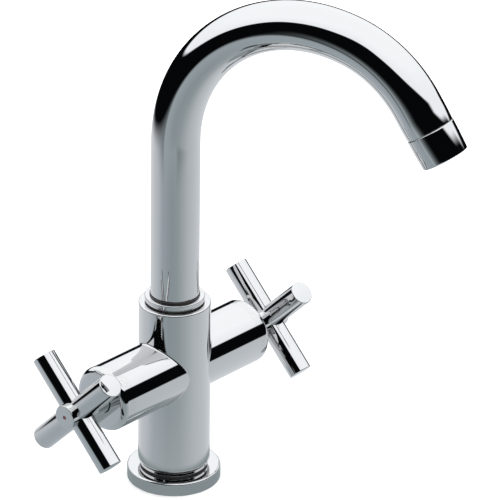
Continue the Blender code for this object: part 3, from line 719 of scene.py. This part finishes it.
def polished_chrome():
    """Bright chrome plate: almost a mirror, with a cloth's haze, dried drops and a little dust."""
    made = plain("polished_chrome", CHROME, 0.02, 1.0)
    tree = made.node_tree
    worn = use(tree, handled, Haze=0.035, Drops=0.05, Scale=1.0)
    dust = use(tree, dusty, Amount=0.05)["Mask"]
    colour = blend_colours(tree, dust, (*CHROME, 1), (0.56, 0.55, 0.53, 1))
    rough = maths(tree, 'ADD', maths(tree, 'ADD', worn["Roughness"], 0.012), dust)
    connect(made, colour, rough, worn["Height"], 0.15, 0.02 * MM)
    return made


def cut_metal(name, light, dark, roughness):
    """Turned bar metal: tool rings, tarnish in slow patches and uneven gloss."""
    made = plain(name, light, roughness, 1.0)
    tree = made.node_tree
    spread = use(tree, grain, Scale=700.0, Unevenness=0.9)["Value"]
    colour = blend_colours(tree, between(tree, spread, 0.35, 0.85), (*light, 1), (*dark, 1))
    rough = between(tree, spread, 0.2, 0.9, roughness - 0.06, roughness + 0.12)
    connect(made, colour, rough, use(tree, lathe_marks, Pitch=0.3 * MM)["Height"], 0.25, 0.01 * MM)
    return made


def grained(name, light, dark, roughness, scale, strength, **sockets):
    """Rubber, ceramic or plastic: grain in colour, gloss and bump, and a little dust."""
    made = plain(name, light, roughness, **sockets)
    tree = made.node_tree
    skin = use(tree, grain, Scale=scale, Unevenness=0.6)
    colour = blend_colours(tree, between(tree, skin["Value"], 0.3, 0.8), (*dark, 1), (*light, 1))
    dust = use(tree, dusty, Amount=0.06)["Mask"]
    colour = blend_colours(tree, dust, colour, (0.6, 0.59, 0.57, 1))
    rough = between(tree, skin["Value"], 0.2, 0.9, roughness - 0.08, roughness + 0.08)
    connect(made, colour, rough, skin["Height"], strength, 0.03 * MM)
    return made


chrome = polished_chrome()
brass = cut_metal("machined_brass", (0.72, 0.53, 0.24), (0.5, 0.34, 0.14), 0.3)
steel = cut_metal("stainless_steel", (0.58, 0.58, 0.59), (0.42, 0.42, 0.43), 0.26)
rubber = grained("seal_rubber", (0.022, 0.022, 0.023), (0.012, 0.012, 0.012), 0.66, 2200.0, 0.35)
ceramic = grained("lapped_ceramic", (0.86, 0.84, 0.80), (0.78, 0.76, 0.71), 0.22, 3000.0, 0.08)
white_plastic = grained("moulded_white", (0.80, 0.80, 0.78), (0.74, 0.74, 0.71), 0.4, 1600.0, 0.2)
dark_plastic = grained("glide_plastic", (0.026, 0.026, 0.028), (0.014, 0.014, 0.015), 0.42, 1600.0, 0.2)
red = grained("red_enamel", (0.11, 0.006, 0.009), (0.07, 0.004, 0.006), 0.3, 1200.0, 0.1, Coat_Weight=0.6)
blue = grained("blue_enamel", (0.01, 0.05, 0.36), (0.006, 0.03, 0.25), 0.22, 1200.0, 0.1, Coat_Weight=0.6)
FINISHES = {"chrome": chrome, "brass": brass, "steel": steel, "rubber": rubber, "ceramic": ceramic,
            "white_plastic": white_plastic, "dark_plastic": dark_plastic, "hot_red": red, "cold_blue": blue}
for part in frame["record"]["subparts"]:
    frame["nodes"][part["node"]].material_slots[0].material = FINISHES[part["material_slot"]]

make_body()
make_base()
# painted shade: black rings in the gaps of the neck, under the collar and behind the caps
make_gap_shade_rings()
make_collar()
make_aerator(make_spout())
for side, sign in (("hot", -1), ("cold", 1)):
    make_end_cap(side, sign)
    make_handle(side, sign)


# ---------------------------------------------------------------- camera and stage
CAMERA_TURNS = -47.91, 26.24, 0.78              # azimuth, elevation and roll in degrees
CAMERA_DISTANCE, CAMERA_LENS = 2.7525, 363      # metres, and millimetres on a sensor 36 wide
AIM_HEIGHT, AIM_RIGHT = 0.1393, 0.0409
CHROME_SHARE = 0.6          # part of the light that the chrome gives back
TENT_RADIUS = 2.0
FLOOR_REACH = 15.0
DARK_EDGE = 1.5             # degrees
# Edge between the dark surround and the white tent, as (azimuth, elevation) in degrees seen
# from the mixer's foot; azimuth runs from straight ahead towards +X
DARK_TOP = ((-180, 8), (-145, 10), (-128, 17), (-113, 32), (-98, 42), (-75, 49), (-55, 44.5), (-40, 41),
            (-13, 38), (4, 34.5), (14, 32.5), (28, 29), (47, 24.5), (58, 20.5), (70, 14), (82, 11),
            (97, 11), (140, 14), (180, 8))
DARK, WHITE_LOW, WHITE_HIGH = (5, 6, 7), (234, 236, 238), (243, 245, 246)
# Grey opening below the horizon: its two soft sides in degrees of azimuth, its top and foot
# in degrees of elevation
OPENING = (-107, -99, -50, -30)
OPENING_TOP, OPENING_FOOT = 3.0, -18.0
OPENING_GREY = (152, 161, 164)
# The round table thins out from the first to the second distance from its middle
TABLE_MIDDLE, TABLE_EDGE, TABLE_REACH = (0.08, 0.03), (0.45, 0.64), 0.75
TABLE_LEVEL, FOOT_SHADE_LEVEL = -1 * MM, -0.5 * MM
# The table's grey by azimuth from the mixer's foot
TABLE = ((-180, (192, 194, 197)), (-135, (174, 179, 184)), (-107, (147, 156, 161)), (-65, (132, 142, 146)),
         (-35, (138, 147, 150)), (15, (170, 175, 179)), (70, (188, 192, 196)), (180, (192, 194, 197)))
TABLE_NEAR = (186, 189, 192)
# The table is darker close round the mixer's foot
FOOT_SHADE_START, FOOT_SHADE_END = 40 * MM, 50 * MM
FOOT_GREY = (129, 138, 141)


def aim_camera():
    """Long lens from the near left and a little above, turned about its own line by the roll."""
    azimuth, elevation, roll = (radians(angle) for angle in CAMERA_TURNS)
    back = np.array([sin(azimuth) * cos(elevation), -cos(azimuth) * cos(elevation), sin(elevation)])
    level = unit(np.cross(-back, Z))
    upright = np.cross(level, -back)
    right = level * cos(roll) + upright * sin(roll)
    up = upright * cos(roll) - level * sin(roll)
    camera = bpy.data.objects.new("camera", bpy.data.cameras.new("camera"))
    bpy.context.scene.collection.objects.link(camera)
    spot = back * CAMERA_DISTANCE + Z * AIM_HEIGHT + right * AIM_RIGHT
    turn = Matrix(np.stack([right, up, back], 1).tolist()).to_4x4()
    camera.matrix_world = Matrix.Translation(spot) @ turn
    camera.data.sensor_width = 36
    camera.data.lens = CAMERA_LENS
    bpy.context.scene.camera = camera


aim_camera()


def shade(red, green, blue):
    """Light that makes the chrome show this screen colour, 0 to 255, with the screen's own curve."""
    seen = np.array([red, green, blue]) / 255
    return (*(((seen + 0.055) / 1.055) ** 2.4 / CHROME_SHARE).tolist(), 1)


def turn_of(tree, place):
    """Share of a full turn, 0 to 1 for -180 to 180 degrees, at which a place stands."""
    x, y, _ = put(tree, "SeparateXYZ", {0: place}).outputs
    azimuth = maths(tree, 'ARCTAN2', x, maths(tree, 'MULTIPLY', y, -1.0))
    return maths(tree, 'MULTIPLY_ADD', azimuth, 0.5 / pi, 0.5)


def stage_piece(name, grid, closed, glow, cover=None):
    """Stage mesh from one grid, seen only in reflections."""
    rows, columns, _ = grid.shape
    mesh = bpy.data.meshes.new(name)
    mesh.from_pydata(grid.reshape(-1, 3).tolist(), [], grid_faces(rows, columns, closed, 0).tolist())
    finish = bpy.data.materials.new(name)
    finish.use_nodes = True
    tree = finish.node_tree
    tree.nodes.clear()
    place = put(tree, "TexCoord").outputs["Object"]
    light = put(tree, "Emission", {"Color": glow(tree, place)})
    surface = light.outputs[0]
    if cover:
        clear = put(tree, "BsdfTransparent").outputs[0]
        surface = put(tree, "MixShader", {0: cover(tree, place), 1: clear, 2: surface}).outputs[0]
    put(tree, "OutputMaterial", {"Surface": surface})
    mesh.materials.append(finish)
    made = bpy.data.objects.new(name, mesh)
    bpy.context.scene.collection.objects.link(made)
    made.visible_camera = made.visible_diffuse = made.visible_shadow = False


def by_azimuth(tree, turn, knots):
    """Angle in degrees read from a smooth curve through (azimuth, angle) knots, angles -90 to 90."""
    made = put(tree, "FloatCurve", {"Value": turn})
    points = made.mapping.curves[0].points
    for _ in knots[2:]:
        points.new(0.5, 0.5)
    for point, (azimuth, angle) in zip(points, knots):
        point.location = ((azimuth + 180) / 360, angle / 180 + 0.5)
    made.mapping.update()
    return maths(tree, 'MULTIPLY_ADD', made.outputs[0], 180.0, -90.0)


def tent_glow(tree, place):
    """White cloth above, a dark band along the horizon and below it, and one grey opening.

    The opening's grey fades out upwards evenly to the eye: light is the 2.2nd power of the
    share of the way down.
    """
    turn = turn_of(tree, place)
    rise = maths(tree, 'DIVIDE', put(tree, "SeparateXYZ", {0: place}).outputs[2], TENT_RADIUS)
    height = maths(tree, 'DEGREES', maths(tree, 'ARCSINE', rise))
    over = maths(tree, 'SUBTRACT', height, by_azimuth(tree, turn, DARK_TOP))
    white = blend_colours(tree, between(tree, over, 0.0, 30.0), shade(*WHITE_LOW), shade(*WHITE_HIGH))
    cloth = blend_colours(tree, between(tree, over, -DARK_EDGE, DARK_EDGE), shade(*DARK), white)
    azimuth = maths(tree, 'MULTIPLY_ADD', turn, 360.0, -180.0)
    opening = maths(tree, 'MULTIPLY', between(tree, azimuth, OPENING[0], OPENING[1]),
                    between(tree, azimuth, OPENING[3], OPENING[2]))
    share = put(tree, "MapRange", {"Value": height, "From Min": OPENING_TOP,
                                   "From Max": OPENING_FOOT}).outputs["Result"]
    lit = maths(tree, 'MULTIPLY', maths(tree, 'POWER', share, 2.2), opening)
    return blend_colours(tree, lit, cloth, shade(*OPENING_GREY))


def table_glow(tree, place):
    """Grey that changes round the table, more even near its middle."""
    stops = [((azimuth + 180) / 360, shade(*colour)) for azimuth, colour in TABLE]
    grey = ramp(tree, turn_of(tree, place), stops)
    reach = put(tree, "VectorMath", {0: place}, operation='LENGTH').outputs["Value"]
    return blend_colours(tree, between(tree, reach, 0.2, 0.0, 0.0, 0.3), grey, shade(*TABLE_NEAR))


def table_cover(tree, place):
    """Full to near the table's round edge, then thinning out into the dark."""
    middle = (*TABLE_MIDDLE, 0)
    aside = put(tree, "VectorMath", {0: place, 1: middle}, operation='DISTANCE').outputs["Value"]
    return between(tree, aside, TABLE_EDGE[1], TABLE_EDGE[0])


def foot_glow(tree, place):
    """One even grey."""
    return shade(*FOOT_GREY)


def foot_cover(tree, place):
    """Full to a little way outside the flange, then thinning out."""
    aside = put(tree, "VectorMath", {0: place}, operation='LENGTH').outputs["Value"]
    return between(tree, aside, FOOT_SHADE_END, FOOT_SHADE_START)


def make_studio():
    """Tent of diffusing cloth round the mixer, a grey table under it, a pale floor for the eye."""
    rise = np.linspace(-pi / 2, pi / 2, 49)
    tent = np.stack([TENT_RADIUS * np.cos(rise), TENT_RADIUS * np.sin(rise)], 1)
    stage_piece("tent", turned(tent, UPRIGHT, FINE), True, tent_glow)
    table = np.array([(0, TABLE_LEVEL), (TABLE_REACH, TABLE_LEVEL)])
    stage_piece("table", turned(table, UPRIGHT, FINE), True, table_glow, table_cover)
    foot = np.array([(0, FOOT_SHADE_LEVEL), (FOOT_SHADE_END, FOOT_SHADE_LEVEL)])
    stage_piece("foot_shade", turned(foot, UPRIGHT, FINE), True, foot_glow, foot_cover)
    mesh = bpy.data.meshes.new("floor")
    corners = [(x * FLOOR_REACH, y * FLOOR_REACH, 0) for x, y in ((-1, -1), (1, -1), (1, 1), (-1, 1))]
    mesh.from_pydata(corners, [], [(0, 1, 2, 3)])
    mesh.materials.append(plain("pale_floor", (0.9, 0.9, 0.9), 1.0))
    floor = bpy.data.objects.new("floor", mesh)
    bpy.context.scene.collection.objects.link(floor)
    floor.visible_glossy = False
    lamp = bpy.data.objects.new("overhead", bpy.data.lights.new("overhead", 'SUN'))
    bpy.context.scene.collection.objects.link(lamp)
    lamp.data.energy = 3.0
    lamp.data.angle = radians(170)
    lamp.visible_glossy = False
    world = bpy.data.worlds.new("studio")
    bpy.context.scene.world = world
    world.use_nodes = True
    world.node_tree.nodes["Background"].inputs["Color"].default_value = (0.97, 0.97, 0.97, 1)
    world.cycles_visibility.glossy = False


make_studio()
bpy.context.scene.view_settings.view_transform = 'Standard'
